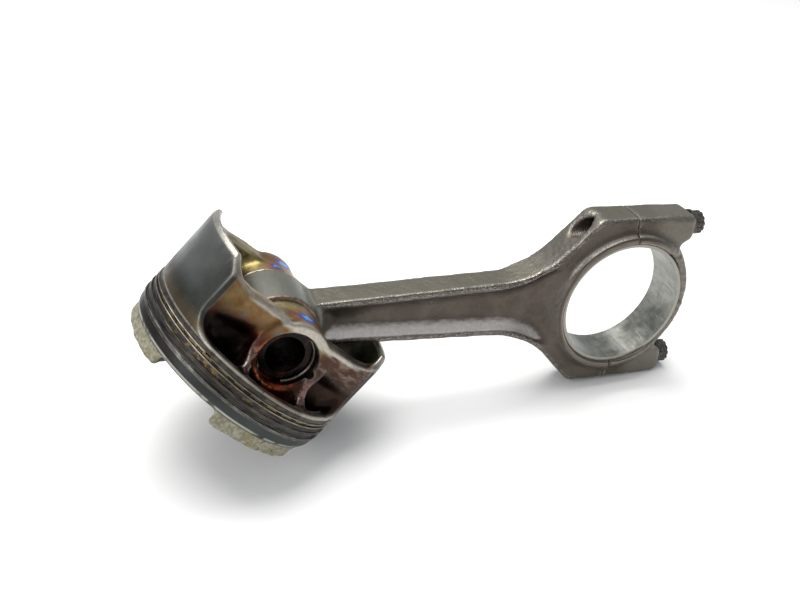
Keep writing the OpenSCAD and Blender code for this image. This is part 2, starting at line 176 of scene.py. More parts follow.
class Field:
    """Signed distances in millimetres on a dense grid in a local frame, negative inside."""

    def __init__(self, low, high, voxel=VOXEL):
        self.voxel = voxel
        self.low = np.floor(np.array(low) / voxel).astype(int)
        self.shape = tuple(np.ceil(np.array(high) / voxel).astype(int) - self.low + 1)
        self.transform = openvdb.createLinearTransform(voxelSize=voxel)
        self.values = None

    def axes(self):
        """The grid's X, Y and Z, shaped so that they combine into the grid."""
        lines = [(self.low[i] + np.arange(self.shape[i])) * self.voxel for i in range(3)]
        return (lines[0][:, None, None].astype(np.float32), lines[1][None, :, None].astype(np.float32),
                lines[2][None, None, :].astype(np.float32))

    def measure(self, points, triangles, quads=None, reach=3.0):
        """Distances to a closed mesh, as far as reach on each side."""
        if quads is None:
            quads = np.empty((0, 4), np.uint32)
        if triangles is None or len(triangles) == 0:
            triangles = np.empty((0, 3), np.uint32)
        grid = openvdb.FloatGrid.createLevelSetFromPolygons(
            np.ascontiguousarray(points, np.float32), triangles=np.ascontiguousarray(triangles, np.uint32),
            quads=np.ascontiguousarray(quads, np.uint32), transform=self.transform,
            halfWidth=reach / self.voxel)
        values = np.empty(self.shape, np.float32)
        grid.copyToArray(values, ijk=tuple(int(i) for i in self.low))
        return values

    def polygons(self, values, level=0.0, adaptivity=0.0):
        grid = openvdb.FloatGrid(float(values.max()))
        grid.transform = self.transform
        grid.copyFromArray(np.ascontiguousarray(values), ijk=tuple(int(i) for i in self.low))
        grid.gridClass = openvdb.GridClass.LEVEL_SET
        return grid.convertToPolygons(isovalue=level, adaptivity=adaptivity)

    def shifted(self, values, level):
        """Fresh distances to the surface at the given level."""
        points, triangles, quads = self.polygons(values, level)
        return self.measure(points, triangles, quads, reach=abs(level) + 1.6)

    def filleted(self, values, r):
        """Inner corners filled to radius r."""
        return self.shifted(self.shifted(values, r), -r)

    def rounded(self, values, r):
        """Outer corners rounded to radius r."""
        return self.shifted(self.shifted(values, -r), r)

    def blurred(self, values, sigma):
        """A Gaussian blur, with sigma in millimetres."""
        half = max(1, int(round(2.5 * sigma / self.voxel)))
        kernel = np.exp(-0.5 * (np.arange(-half, half + 1) * self.voxel / sigma) ** 2).astype(np.float32)
        kernel /= kernel.sum()
        for axis in range(3):
            pad = [(half, half) if i == axis else (0, 0) for i in range(3)]
            wide = np.pad(values, pad, mode="edge")
            length = values.shape[axis]
            values = sum(k * np.take(wide, range(i, i + length), axis=axis) for i, k in enumerate(kernel))
        return values

    def lumps(self, sigma, rng):
        """Smooth random lumps with a spread of 1."""
        noise = self.blurred(rng.standard_normal(self.shape).astype(np.float32), sigma)
        return noise / noise.std()

    def sample(self, values, points):
        """Values at points, interpolated."""
        at = points / self.voxel - self.low
        base = np.clip(np.floor(at).astype(int), 0, np.array(self.shape) - 2)
        part = np.clip(at - base, 0, 1)
        total = np.zeros(len(points))
        for corner in range(8):
            bits = [(corner >> i) & 1 for i in range(3)]
            weight = np.ones(len(points))
            for i in range(3):
                weight = weight * (part[:, i] if bits[i] else 1 - part[:, i])
            total += weight * values[base[:, 0] + bits[0], base[:, 1] + bits[1], base[:, 2] + bits[2]]
        return total


def field_of(node, axes, margin=3.5, reach=3.0):
    """The field of a CAD node in a local frame."""
    points, triangles = mesh_arrays(frame["nodes"][node].data)
    points = axes.local(points)
    field = Field(points.min(axis=0) - margin, points.max(axis=0) + margin)
    field.values = field.measure(points, triangles, reach=reach)
    return field


def field_object(name, field, faces_kept=1.0):
    """The field's surface as an object whose coordinates are still local millimetres."""
    points, triangles, quads = field.polygons(field.values)
    faces = [tuple(f) for f in triangles] + [tuple(f) for f in quads]
    obj = new_object(name, points, faces)
    orient(obj)
    if faces_kept < 1:
        mod = obj.modifiers.new("thin", "DECIMATE")
        mod.ratio = faces_kept
        apply_modifiers(obj)
    return obj


def measure_wear_and_shade(obj, low, high, sigma=1.1):
    """Stores on each vertex how far it stands out (edge: worn edges and painted glints) or lies back (hollow:
    painted shade) from its surroundings.
    """
    points, triangles = mesh_arrays(obj.data)
    field = Field(low, high, voxel=max(VOXEL, 0.55))
    values = field.measure(points, triangles, reach=4.0)
    level = field.sample(field.blurred(values, sigma) - values, points)
    for name, amount in (("edge", level), ("hollow", -level)):
        attribute = obj.data.attributes.new(name, "FLOAT", "POINT")
        attribute.data.foreach_set("value", np.clip(amount / (0.5 * sigma), 0, 1).astype(np.float32))


def settle(obj, axes, sharp_deg=34):
    """Moves an object's mesh from local millimetres to the world, and smooths its shading."""
    points, _ = mesh_arrays(obj.data)
    obj.data.vertices.foreach_set("co", axes.world(points).astype(np.float32).ravel())
    obj.data.shade_smooth()
    obj.data.set_sharp_from_angle(angle=math.radians(sharp_deg))
    obj.data.update()


# ---- Piston ----

BORE_R = 39.94                   # skirt panels
LAND_R = 39.58                   # lands between the rings
BELT_LOW = 9.0                   # height of the belt's lower edge above the pin's axis
GROOVE_FLOOR = 35.9
GROOVES = ((11.2, 13.2), (15.0, 16.26), (18.0, 19.26))
SKIRT_END = -18.0
RIM = 23.0
BOSS_FACE = 27.0
PIN_R = 10.0
CLIP_Y = 23.25


def shape_piston():
    """The casting: the CAD solid with cast fillets, worn corners and a fine cast skin."""
    field = field_of("piston", PISTON)
    x, y, w = field.axes()
    rho = np.hypot(x, y)
    rng = np.random.default_rng(RNG_SEED)
    inner = 1 - smoothstep(w, 19.5, 21.5)
    values = field.values
    soft = field.filleted(values, 2.3)
    fine = field.filleted(values, 0.5)
    values = inner * soft + (1 - inner) * fine
    cast = field.rounded(values, 0.75)
    turned = field.rounded(values, 0.35)
    machined = smoothstep(rho, 36.5, 38.0)
    values = machined * turned + (1 - machined) * cast
    skin = (0.045 * field.lumps(0.9, rng) + 0.06 * field.lumps(2.6, rng)) * (1 - machined) * inner
    ash = 0.12 * field.lumps(1.2, rng) * smoothstep(w, RIM + 1, RIM + 2.5)
    values = values + skin + ash
    bevel = np.maximum(0, (SKIRT_END + 1.7) - w) * 0.45
    barrel = BORE_R - 0.05 * ((w + 5) / 13) ** 2 - bevel
    wall = np.where(w < BELT_LOW + 0.05, barrel, LAND_R)
    field.values = np.maximum(values, rho - wall).astype(np.float32)
    return field


def pin_bore_profile():
    """Radius and height along the pin's axis of what the boring bar and the clip grooves take out."""
    half = [(PIN_R, 0), (PIN_R, CLIP_Y - 0.65), (PIN_R + 0.65, CLIP_Y - 0.6), (PIN_R + 0.65, CLIP_Y + 0.6),
            (PIN_R, CLIP_Y + 0.65), (PIN_R, BOSS_FACE - 1.3), (PIN_R + 1.2, BOSS_FACE),
            (PIN_R + 4, BOSS_FACE + 3)]
    back = [(r, -h) for r, h in reversed(half)]
    return [(0, -BOSS_FACE - 3)] + back[:-1] + half + [(0, BOSS_FACE + 3)]


def build_piston():
    field = shape_piston()
    obj = field_object("piston_casting", field, faces_kept=0.5)
    for low, high in GROOVES:
        carve(obj, lathe("cut", [(GROOVE_FLOOR, low), (43, low), (43, high), (GROOVE_FLOOR, high)], 300))
    carve(obj, lathe("cut", pin_bore_profile(), 160, about="y"))
    for side in (-1, 1):
        notch = lathe("cut", [(0, -2.6), (1.7, -2.6), (1.7, 2.6), (0, 2.6)], 40, about="y",
                      offset=(-PIN_R, side * (BOSS_FACE - 1), 0))
        carve(obj, notch)
    points, _ = mesh_arrays(obj.data)
    measure_wear_and_shade(obj, points.min(axis=0) - 5, points.max(axis=0) + 5)
    settle(obj, PISTON)
    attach(obj, "piston")
    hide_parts("piston")
    return obj


# ---- Connecting rod and cap ----

HOUSING_R = 26.3
THRUST_R = 29.6
THRUST_Y = 10.2
SMALL_R = 15.5
SMALL_Y = 10.3
BUSH_R = 11.5
FLANGE_Y = 6.2
WEB_Y = 2.25
SHANK = ((-126.0, 8.65), (-54.0, 11.5))      # half width of the shank at its two ends
SHOULDER_DEG = 47.0
SHOULDER_R = 37.0
BOLT_Z = 30.3
BOLT_HOLE_R = 3.55
CAP_REACH = 27.0
SPLIT_RUN = 1.6                  # how far from the split plane the section stays the same
TRIM = 0.03                      # how far inside the CAD faces the trimming surfaces lie


def shank_half(x):
    (x0, h0), (x1, h1) = SHANK
    return h0 + (x - x0) * (h1 - h0) / (x1 - x0)


def rod_half(x):
    """Half width of the rod along its length: the shank and the shoulders that lead to the big end."""
    slope = math.atan((SHANK[1][1] - SHANK[0][1]) / (SHANK[1][0] - SHANK[0][0]))
    cx = SHANK[1][0] - SHOULDER_R * math.sin(slope)
    cz = SHANK[1][1] + SHOULDER_R * math.cos(slope)
    end_x = cx + SHOULDER_R * math.sin(math.radians(SHOULDER_DEG))
    end_z = cz - SHOULDER_R * math.cos(math.radians(SHOULDER_DEG))
    arc = cz - np.sqrt(np.maximum(SHOULDER_R ** 2 - (np.minimum(x, end_x) - cx) ** 2, 0))
    flare = np.where(x < end_x, arc, end_z + (x - end_x) * math.tan(math.radians(SHOULDER_DEG)))
    return np.where(x < SHANK[1][0], shank_half(x), flare)


def soft_max(a, b, r):
    """The larger of two distances, with the corner between them filled to about radius r."""
    h = np.clip(0.5 + 0.5 * (a - b) / r, 0, 1)
    return b + (a - b) * h + r * h * (1 - h)


def sides_of(x, z, inset):
    """Distance in the middle plane to the rod's edges, moved inwards by inset."""
    line = x[:, 0, 0]
    slant = np.gradient(rod_half(line), line)[:, None, None]
    return (np.abs(z) - rod_half(x) + inset) / np.sqrt(1 + slant ** 2)


def recess(x, z):
    """Distance in the middle plane to the outline of the recess between the flanges, negative inside it."""
    small_end = (SMALL_R + 2.0) - np.hypot(x + ROD_LENGTH, z)
    big_end = (THRUST_R + 1.6) - np.hypot(x, z)
    sides = soft_max(sides_of(x, z, 2.5), np.abs(z) - 19.5, 5.0)
    return soft_max(np.maximum(sides, small_end), big_end, 6.0)


def shape_rod():
    """The forging: flanges with drafted and rounded recesses, blended ends and a peened skin."""
    field = field_of("connecting_rod", ROD)
    x, y, z = field.axes()
    rng = np.random.default_rng(RNG_SEED + 1)
    values = field.values
    plan = recess(x, z)
    values = np.minimum(values, np.maximum(plan - 0.8, np.abs(y) - FLANGE_Y))
    draft = 0.75
    pocket = soft_max((plan + (FLANGE_Y - np.abs(y)) * draft) / math.hypot(1, draft), WEB_Y - np.abs(y), 2.2)
    values = np.maximum(values, -pocket)
    soft = field.filleted(values, 2.2)
    near_small = np.hypot(x + ROD_LENGTH, z)
    near_big = np.hypot(x, z)
    forged = field.rounded(soft, 1.05)
    machined = field.rounded(soft, 0.35)
    ends = np.maximum(1 - smoothstep(near_small, SMALL_R + 0.5, SMALL_R + 3),
                      1 - smoothstep(near_big, THRUST_R + 1.4, THRUST_R + 4.4))
    values = ends * machined + (1 - ends) * forged
    peened = 0.03 * field.lumps(0.55, rng) + 0.07 * field.lumps(3.0, rng)
    nub = np.hypot(np.hypot(x + ROD_LENGTH - 60, z - 4), np.abs(y) - WEB_Y) - 1.1
    values = np.minimum(values, nub) + peened * (1 - ends)
    values = run_to_split(field, values, -SPLIT_RUN) + split_chips(field, x, rng)
    values = np.maximum(values, np.abs(y) - np.where(x < -70, SMALL_Y, THRUST_Y))
    on_edges = (x > SHANK[0][0] + 1) & (x < -38)
    values = np.where(on_edges, np.maximum(values, sides_of(x, z, 0.12) + peened), values)
    values = np.where(x < -ROD_LENGTH + 7, np.maximum(values, near_small - SMALL_R + TRIM), values)
    ring = np.where(x > -60, near_big - THRUST_R + TRIM, -9)
    values = np.where(np.abs(y) > 8.6, np.maximum(values, ring), values)
    field.values = np.maximum(values, x).astype(np.float32)
    return field


def run_to_split(field, values, x):
    """Carries the section at x on to the split plane and past it, so that the broken edges stay sharp."""
    i = int(round(x / field.voxel)) - field.low[0]
    values = values.copy()
    if x < 0:
        values[i:] = values[i]
    else:
        values[:i] = values[i]
    return values


def split_chips(field, x, rng):
    """Fine chipping along the fracture between rod and cap."""
    return 0.04 * np.exp(-(x / 0.5) ** 2) * (1 + 0.8 * field.lumps(0.9, rng))


def shape_cap():
    field = field_of("rod_cap", ROD)
    x, y, z = field.axes()
    rng = np.random.default_rng(RNG_SEED + 2)
    holes = np.maximum(np.hypot(y, np.abs(z) - BOLT_Z) - BOLT_HOLE_R - 0.8,
                       np.abs(x - CAP_REACH / 2) - CAP_REACH / 2)
    soft = field.filleted(np.minimum(field.values, holes), 1.8)
    ends = smoothstep(x, 14, 20)
    values = (1 - ends) * field.rounded(soft, 0.7) + ends * field.rounded(soft, 2.2)
    ring = 1 - smoothstep(np.hypot(x, z), THRUST_R, THRUST_R + 0.6)
    peened = 0.03 * field.lumps(0.55, rng) + 0.06 * field.lumps(3.0, rng)
    values = values + peened * (1 - ring * smoothstep(np.abs(y), 8, 9.5))
    values = run_to_split(field, values, SPLIT_RUN) + split_chips(field, x, rng)
    values = np.maximum(values, np.abs(y) - THRUST_Y)
    field.values = np.maximum(values, -x).astype(np.float32)
    return field


def bore_cutter(r, face_y, bevel, steps, offset=(0, 0, 0)):
    """A bore along Y through an eye whose faces are at face_y, with bevelled mouths."""
    half = face_y + 2
    return lathe("cut", [(0, -half), (r + 2.5, -half), (r, -face_y + bevel), (r, face_y - bevel),
                         (r + 2.5, half), (0, half)], steps, about="y", offset=offset)


def housing_cutter():
    return bore_cutter(HOUSING_R, THRUST_Y, 0.3, 240)


def bolt_cutter(side, x0, x1):
    """A bolt hole along the rod's X axis, ringed like a thread."""
    pitch = 1.0
    profile = [(0, x0)]
    for i in range(int((x1 - x0) / pitch)):
        profile += [(BOLT_HOLE_R - 0.35, x0 + i * pitch + 0.1), (BOLT_HOLE_R, x0 + (i + 0.5) * pitch)]
    profile += [(BOLT_HOLE_R - 0.35, x1), (0, x1)]
    profile[1] = (profile[1][0], x0)
    obj = lathe("cut", profile, 64)
    points, _ = mesh_arrays(obj.data)
    points = np.stack([points[:, 2], points[:, 1], -points[:, 0]], axis=1) + np.array([0, 0, side * BOLT_Z])
    obj.data.vertices.foreach_set("co", points.astype(np.float32).ravel())
    orient(obj)
    return obj


def finish_forging(obj, node):
    points, _ = mesh_arrays(obj.data)
    measure_wear_and_shade(obj, points.min(axis=0) - 5, points.max(axis=0) + 5)
    settle(obj, ROD)
    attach(obj, "rod")
    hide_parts(node)
    return obj


def build_rod():
    obj = field_object("rod_forging", shape_rod(), faces_kept=0.6)
    carve(obj, housing_cutter())
    carve(obj, bore_cutter(BUSH_R, SMALL_Y, 0.7, 120, offset=(-ROD_LENGTH, 0, 0)))
    for side in (-1, 1):
        carve(obj, bolt_cutter(side, -44, 2))
    return finish_forging(obj, "connecting_rod")


def build_cap():
    obj = field_object("cap_forging", shape_cap(), faces_kept=0.7)
    carve(obj, housing_cutter())
    for side in (-1, 1):
        carve(obj, bolt_cutter(side, -2, CAP_REACH + 2))
    return finish_forging(obj, "rod_cap")


# ---- Material nodes ----

class Value:
    """A socket that arithmetic can be written with."""

    def __init__(self, nodes, socket):
        self.nodes, self.socket = nodes, socket

    def __add__(self, other):
        return self.nodes.math("ADD", self, other)

    def __sub__(self, other):
        return self.nodes.math("SUBTRACT", self, other)

    def __rsub__(self, other):
        return self.nodes.math("SUBTRACT", other, self)

    def __mul__(self, other):
        return self.nodes.math("MULTIPLY", self, other)

    __radd__, __rmul__ = __add__, __mul__

    def size(self):
        return self.nodes.math("ABSOLUTE", self)

    def limited(self):
        return self.nodes.math("ADD", self, 0, clamp=True)

    def most(self, other):
        return self.nodes.math("MAXIMUM", self, other)

    def rise(self, low, high):
        """0 below low, 1 above high, smooth between; a fall where low is above high."""
        return self.nodes.map_range(self, low, high)

    def within(self, low, high, soft):
        """1 between low and high, with soft edges."""
        return self.rise(low - soft, low + soft) * self.rise(high + soft, high - soft)


class Nodes:
    """One material's nodes, with shading coordinates in a local frame's millimetres."""

    def __init__(self, name, axes):
        self.material = bpy.data.materials.new(name)
        self.material.use_nodes = True
        self.tree = self.material.node_tree
        self.tree.nodes.clear()
        self.shader = self.tree.nodes.new("ShaderNodeBsdfPrincipled")
        output = self.tree.nodes.new("ShaderNodeOutputMaterial")
        self.tree.links.new(self.shader.outputs[0], output.inputs[0])
        self.place(axes)

    def node(self, kind, **settings):
        node = self.tree.nodes.new(kind)
        for key, value in settings.items():
            setattr(node, key, value)
        return node

    def feed(self, socket, value):
        if isinstance(value, Value):
            self.tree.links.new(value.socket, socket)
        else:
            socket.default_value = value

    def math(self, operation, *values, clamp=False):
        node = self.node("ShaderNodeMath", operation=operation, use_clamp=clamp)
        for i, value in enumerate(values):
            self.feed(node.inputs[i], value)
        return Value(self, node.outputs[0])

    def map_range(self, value, low, high, to_low=0.0, to_high=1.0, kind="SMOOTHSTEP"):
        node = self.node("ShaderNodeMapRange", interpolation_type=kind)
        if low > high:
            low, high, to_low, to_high = high, low, to_high, to_low
        for key, item in (("Value", value), ("From Min", low), ("From Max", high),
                          ("To Min", to_low), ("To Max", to_high)):
            self.feed(node.inputs[key], item)
        return Value(self, node.outputs[0])

    def place(self, axes):
        """Local coordinates in millimetres, from the mesh's own."""
        source = self.node("ShaderNodeTexCoord").outputs["Object"]
        shift = self.node("ShaderNodeVectorMath", operation="SUBTRACT")
        self.tree.links.new(source, shift.inputs[0])
        shift.inputs[1].default_value = axes.origin
        parts = []
        for direction in (axes.x, axes.y, axes.z):
            dot = self.node("ShaderNodeVectorMath", operation="DOT_PRODUCT")
            self.tree.links.new(shift.outputs[0], dot.inputs[0])
            dot.inputs[1].default_value = direction / MM
            parts.append(Value(self, dot.outputs["Value"]))
        self.x, self.y, self.z = parts
        self.at = self.vector(self.x, self.y, self.z)

    def vector(self, x, y, z):
        node = self.node("ShaderNodeCombineXYZ")
        for i, value in enumerate((x, y, z)):
            self.feed(node.inputs[i], value)
        return Value(self, node.outputs[0])

    def noise(self, scale, detail=2.0, rough=0.5, at=None, stretch=None):
        at = at or self.at
        if stretch:
            node = self.node("ShaderNodeVectorMath", operation="MULTIPLY")
            self.feed(node.inputs[0], at)
            node.inputs[1].default_value = stretch
            at = Value(self, node.outputs[0])
        node = self.node("ShaderNodeTexNoise")
        self.feed(node.inputs["Vector"], at)
        for key, value in (("Scale", scale), ("Detail", detail), ("Roughness", rough)):
            node.inputs[key].default_value = value
        return Value(self, node.outputs["Fac"])

    def cells(self, scale, at=None):
        node = self.node("ShaderNodeTexVoronoi")
        self.feed(node.inputs["Vector"], at or self.at)
        node.inputs["Scale"].default_value = scale
        return Value(self, node.outputs["Distance"])

    def attribute(self, name):
        node = self.node("ShaderNodeAttribute", attribute_name=name)
        return Value(self, node.outputs["Fac"])

    def facing(self, axes):
        """The normal's parts along the local axes."""
        geometry = self.node("ShaderNodeNewGeometry")
        parts = []
        for direction in (axes.x, axes.y, axes.z):
            dot = self.node("ShaderNodeVectorMath", operation="DOT_PRODUCT")
            self.tree.links.new(geometry.outputs["Normal"], dot.inputs[0])
            dot.inputs[1].default_value = direction
            parts.append(Value(self, dot.outputs["Value"]))
        return parts

    def mix(self, under, over, amount):
        """One colour over another."""
        node = self.node("ShaderNodeMix", data_type="RGBA")
        self.feed(node.inputs["Factor"], amount)
        sockets = [s for s in node.inputs if s.type == "RGBA"]
        for socket, value in zip(sockets, (under, over)):
            self.feed(socket, value if isinstance(value, Value) else (*value, 1))
        result = next(s for s in node.outputs if s.type == "RGBA")
        return Value(self, result)

    def bump(self, height, distance, strength=1.0, under=None):
        node = self.node("ShaderNodeBump")
        self.feed(node.inputs["Height"], height)
        node.inputs["Distance"].default_value = distance * MM
        node.inputs["Strength"].default_value = strength
        if under:
            self.feed(node.inputs["Normal"], under)
        return Value(self, node.outputs[0])

    def finish(self, colour, metallic, roughness, normal=None):
        self.feed(self.shader.inputs["Base Color"], colour)
        self.feed(self.shader.inputs["Metallic"], metallic)
        self.feed(self.shader.inputs["Roughness"], roughness)
        if normal:
            self.feed(self.shader.inputs["Normal"], normal)
        return self.material


def angle_from(nodes, x, y):
    """Angle in degrees around the local Z axis, 0 along +X."""
    return nodes.math("ARCTAN2", y, x) * (180 / math.pi)


# ---- Materials ----

# x, y, z and radius in mm of the orange halos and painted blue reflections
HALO_AND_GLINT_SPOTS = ((2.0, -20.4, -14.6, 2.6), (5.5, 15.0, -14.0, 1.9), (0.5, 20.5, -14.6, 2.6))


def halo_and_painted_glints(n, colour):
    """Painted blue and cyan reflections, each with an orange halo, on the open side of the bosses."""
    ragged = (n.noise(0.9, 3, 0.6) - 0.5) * 3.0
    for x, y, w, radius in HALO_AND_GLINT_SPOTS:
        dx, dy, dw = (n.x - x) * 0.6, n.y - y, n.z - w
        away = n.math("SQRT", dx * dx + dy * dy + dw * dw) + ragged
        colour = n.mix(colour, (0.30, 0.10, 0.04), away.rise(radius * 2.6, radius * 1.2) * 0.7)
        # Painted reflection: the blue ring and the cyan core of each spot
        colour = n.mix(colour, (0.05, 0.10, 0.45), away.rise(radius * 1.1, radius * 0.8) * 0.9)
        colour = n.mix(colour, (0.12, 0.50, 1.0), away.rise(radius * 0.6, radius * 0.3))
    return colour


def skirt_colour(n, side, fine, turning):
    """Skirt panels: rubbed clean in the middle, darkened towards the rings and the sides, with a painted
    highlight patch.
    """
    across = side.size()
    broad = n.noise(0.05, 3, 0.5)
    worn = n.z.rise(6, -3) * (across.rise(34, 12) + across.rise(146, 168)).limited()
    colour = n.mix((0.045, 0.046, 0.042), (0.155, 0.165, 0.155), worn * (0.55 + broad * 0.9).limited())
    # Painted highlight: a light patch on one side of the skirt
    skirt_painted_highlight = n.z.within(-9, 1, 2.5) * side.within(2, 20, 5) * broad.rise(0.3, 0.6)
    colour = n.mix(colour, (0.30, 0.31, 0.305), skirt_painted_highlight * 0.7)
    browned = (n.z + fine * 5).rise(5.5, 10.5)
    colour = n.mix(colour, (0.13, 0.09, 0.05), browned * 0.55)
    return n.mix(colour, (0.17, 0.16, 0.14), turning.rise(0.55, 0.85) * 0.3)


def wall_colour(n, cloud, fine, broad, hollow):
    """Outer faces of the side walls: golden varnish near the open end, going to dark scorched varnish and
    painted shade in the pockets, with painted highlights on the ribs and painted shade in hollows.
    """
    x, w = n.x, n.z
    varnish = n.mix((0.13, 0.065, 0.025), (0.19, 0.13, 0.06), cloud.rise(0.35, 0.65))
    varnish = n.mix(varnish, (0.14, 0.12, 0.09), n.noise(0.2, 3, 0.5).rise(0.5, 0.7) * 0.7)
    # Dark scorched varnish and painted shade, deepening towards the pockets under the belt
    scorch_and_shade = n.mix((0.06, 0.016, 0.010), (0.009, 0.007, 0.006), broad.rise(0.35, 0.6))
    pocket_shade_mask = (w + cloud * 7 - x * 0.10).rise(-7, 2)
    colour = n.mix(varnish, scorch_and_shade, pocket_shade_mask)
    right = x.rise(-5, -12)
    rubbed = n.noise(0.35, 4, 0.7, stretch=(0.5, 1, 1.4)).rise(0.45, 0.65)
    worn = n.mix((0.060, 0.030, 0.022), (0.145, 0.110, 0.088), rubbed)
    # Painted shade with dark varnish, deepening towards the belt on the right
    right_pocket_shade = (w + cloud * 8).rise(-3, 6)
    colour = n.mix(colour, n.mix(worn, (0.030, 0.018, 0.014), right_pocket_shade), right)
    # Painted highlight: lighter pink on the ribs
    ribs = x.size().within(10.8, 13.6, 0.5) * n.y.size().rise(22.5, 24) * w.rise(0, 3)
    colour = n.mix(colour, (0.19, 0.11, 0.095), ribs * fine.rise(0.35, 0.6))
    # Painted shade: very dark in hollows
    return n.mix(colour, (0.007, 0.005, 0.005), hollow.rise(0.15, 0.8) * 0.75)


def belt_colour(n, side, fine, outer):
    """Ring belt: soot, brown varnish on the third land and bright turned edges."""
    w = n.z
    arcs = n.noise(0.5, 4, 0.6, stretch=(0.25, 0.25, 4.0))
    crust = n.noise(0.3, 5, 0.7)
    colour = n.mix((0.014, 0.012, 0.010), (0.050, 0.045, 0.040), arcs.rise(0.4, 0.65))
    colour = n.mix(colour, (0.30, 0.28, 0.24), w.within(9.0, 9.7, 0.15) * crust.rise(0.3, 0.5) * 0.8)
    colour = n.mix(colour, (0.09, 0.07, 0.05), w.within(10.0, 11.1, 0.2) * crust.rise(0.4, 0.6) * 0.8)
    varnished = w.within(13.25, 15.0, 0.2) * crust.rise(0.48, 0.62) * side.within(-80, -25, 20)
    colour = n.mix(colour, (0.20, 0.12, 0.035), varnished * 0.85)
    top = w.within(19.3, 22.2, 0.2)
    smooth_top = (n.noise(0.035, 2) + side.size().rise(60, 110) * 0.3).rise(0.45, 0.7)
    colour = n.mix(colour, n.mix((0.014, 0.010, 0.008), (0.036, 0.041, 0.040), smooth_top), top)
    colour = n.mix(colour, (0.16, 0.10, 0.07), top * fine.rise(0.63, 0.72) * (1 - smooth_top) * 0.8)
    rim = w.within(22.3, 23.2, 0.15) * n.noise(0.25, 3).rise(0.32, 0.5)
    colour = n.mix(colour, (0.30, 0.30, 0.27), rim)
    for low, high in GROOVES:
        line = w.within(high - 0.05, high + 0.2, 0.06).most(w.within(low - 0.2, low + 0.05, 0.06))
        colour = n.mix(colour, (0.22, 0.205, 0.185), line * n.noise(0.12, 3).rise(0.38, 0.6) * outer * 0.8)
    return colour


def crown_colour(n, rho, cloud, fine):
    """Crown: pale greenish ash on the pads with dark deposits, soot on its face."""
    ash = n.mix((0.16, 0.15, 0.105), (0.30, 0.285, 0.215), fine.rise(0.35, 0.7))
    ash = n.mix(ash, (0.17, 0.15, 0.04), cloud.rise(0.52, 0.68) * 0.8)
    ash = n.mix(ash, (0.025, 0.02, 0.015), n.noise(0.22, 5, 0.7).rise(0.57, 0.66))
    face = rho.rise(37.2, 35.5)
    dark = n.mix((0.025, 0.021, 0.018), (0.085, 0.073, 0.055), fine.rise(0.4, 0.7))
    return n.mix(ash, dark, face * cloud.rise(0.30, 0.55))


def inner_colour(n, colour, cloud, rho):
    """Inside: golden olive walls, darker under the crown."""
    x, y, w = n.x, n.y, n.z
    facing = n.facing(PISTON)
    inward = (y * facing[1]).rise(0.5, -0.5)
    between_walls = y.size().rise(18.6, 18.0).most(inward * y.size().rise(27, 25))
    inside = rho.rise(37.6, 37.0) * w.rise(18, 17) * between_walls
    golden = n.mix((0.17, 0.135, 0.055), (0.33, 0.28, 0.12), cloud.rise(0.35, 0.65))
    golden = n.mix(golden, (0.05, 0.035, 0.02), (w + cloud * 8).rise(-2, 9))
    golden = n.mix(golden, (0.030, 0.036, 0.018), x.rise(-8, -20) * 0.9)
    return n.mix(colour, golden, inside)


def boss_colour(n, colour, cloud, fine, axis_r):
    """Pin bosses: brown end faces, a copper arc, orange halos with painted blue reflections, and painted
    shade with red varnish in the bore.
    """
    x, y, w = n.x, n.y, n.z
    boss_end = y.size().rise(13.0, 12.0) * axis_r.rise(17, 15) * y.size().rise(9, 10)
    colour = n.mix(colour, n.mix((0.15, 0.09, 0.06), (0.27, 0.20, 0.15), fine.rise(0.4, 0.65)), boss_end)
    copper = axis_r.rise(12.4, 11.0) * y.size().rise(24.9, 25.5) * (w * 0.8 + x * 0.5).rise(2, 6)
    colour = n.mix(colour, (0.36, 0.085, 0.025), copper * fine.rise(0.36, 0.55) * 0.85)
    colour = halo_and_painted_glints(n, colour)
    bore = axis_r.rise(10.9, 10.7) * y.size().rise(10, 11)
    # Painted shade: the bore painted very dark, with red oil varnish towards the crown
    oil = n.mix((0.012, 0.009, 0.008), (0.20, 0.035, 0.010), w.rise(3, 9) * cloud.rise(0.35, 0.6))
    return n.mix(colour, oil, bore)


def bright_edges(n, colour, fine, rho, axis_r):
    """Bare bright metal where edges have been turned or rubbed."""
    y, w, edge = n.y, n.z, n.attribute("edge")
    boss_ring = axis_r.rise(16, 14.6) * y.size().rise(22, 24) * (w + 9).rise(0, 2)
    bright = edge.rise(0.3, 0.85) * w.rise(10.0, 9.2) * (1 - boss_ring * 0.8)
    open_edge = w.rise(-15.8, -16.6) * rho.rise(36.5, 37.2)
    lip = y.size().rise(23.6, 25.4) * w.rise(-8.5, -10.5) * rho.rise(39.2, 38.6)
    bright = bright.most(open_edge).most(lip * edge.rise(0.08, 0.4)) * (0.45 + fine * 0.8)
    return n.mix(colour, (0.42, 0.40, 0.35), bright.limited())


